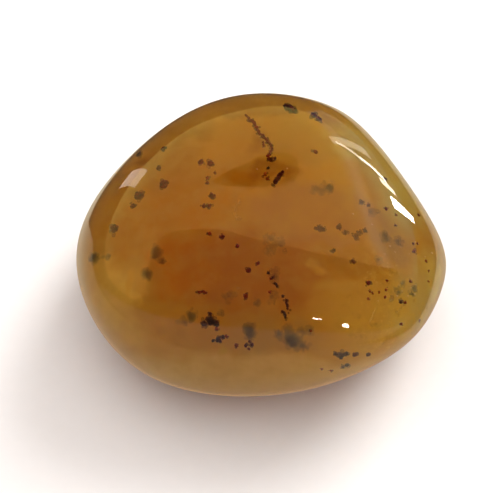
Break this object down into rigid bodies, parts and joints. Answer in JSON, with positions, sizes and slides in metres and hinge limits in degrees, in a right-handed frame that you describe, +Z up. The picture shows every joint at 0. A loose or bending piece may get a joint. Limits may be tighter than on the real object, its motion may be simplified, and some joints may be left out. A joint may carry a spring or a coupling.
{
  "type": "tumbled opal",
  "caption": "Tumbled and polished pebble of translucent honey-brown opal with dark specks inside, resting on a small flat spot.",
  "frame": {"origin": "on the flat spot that the stone rests on, under the middle of its box", "axes": "+X along the stone's length, towards its pointed end; +Y away from its broad front; +Z up, through the domed crown"},
  "size_m": [0.0314, 0.026, 0.0181],
  "materials": {
    "opal": "polished, translucent, with dark specks and pale wisps inside"
  },
  "bodies": {
    "root": {"opal": "opal"}
  },
  "joints": []
}
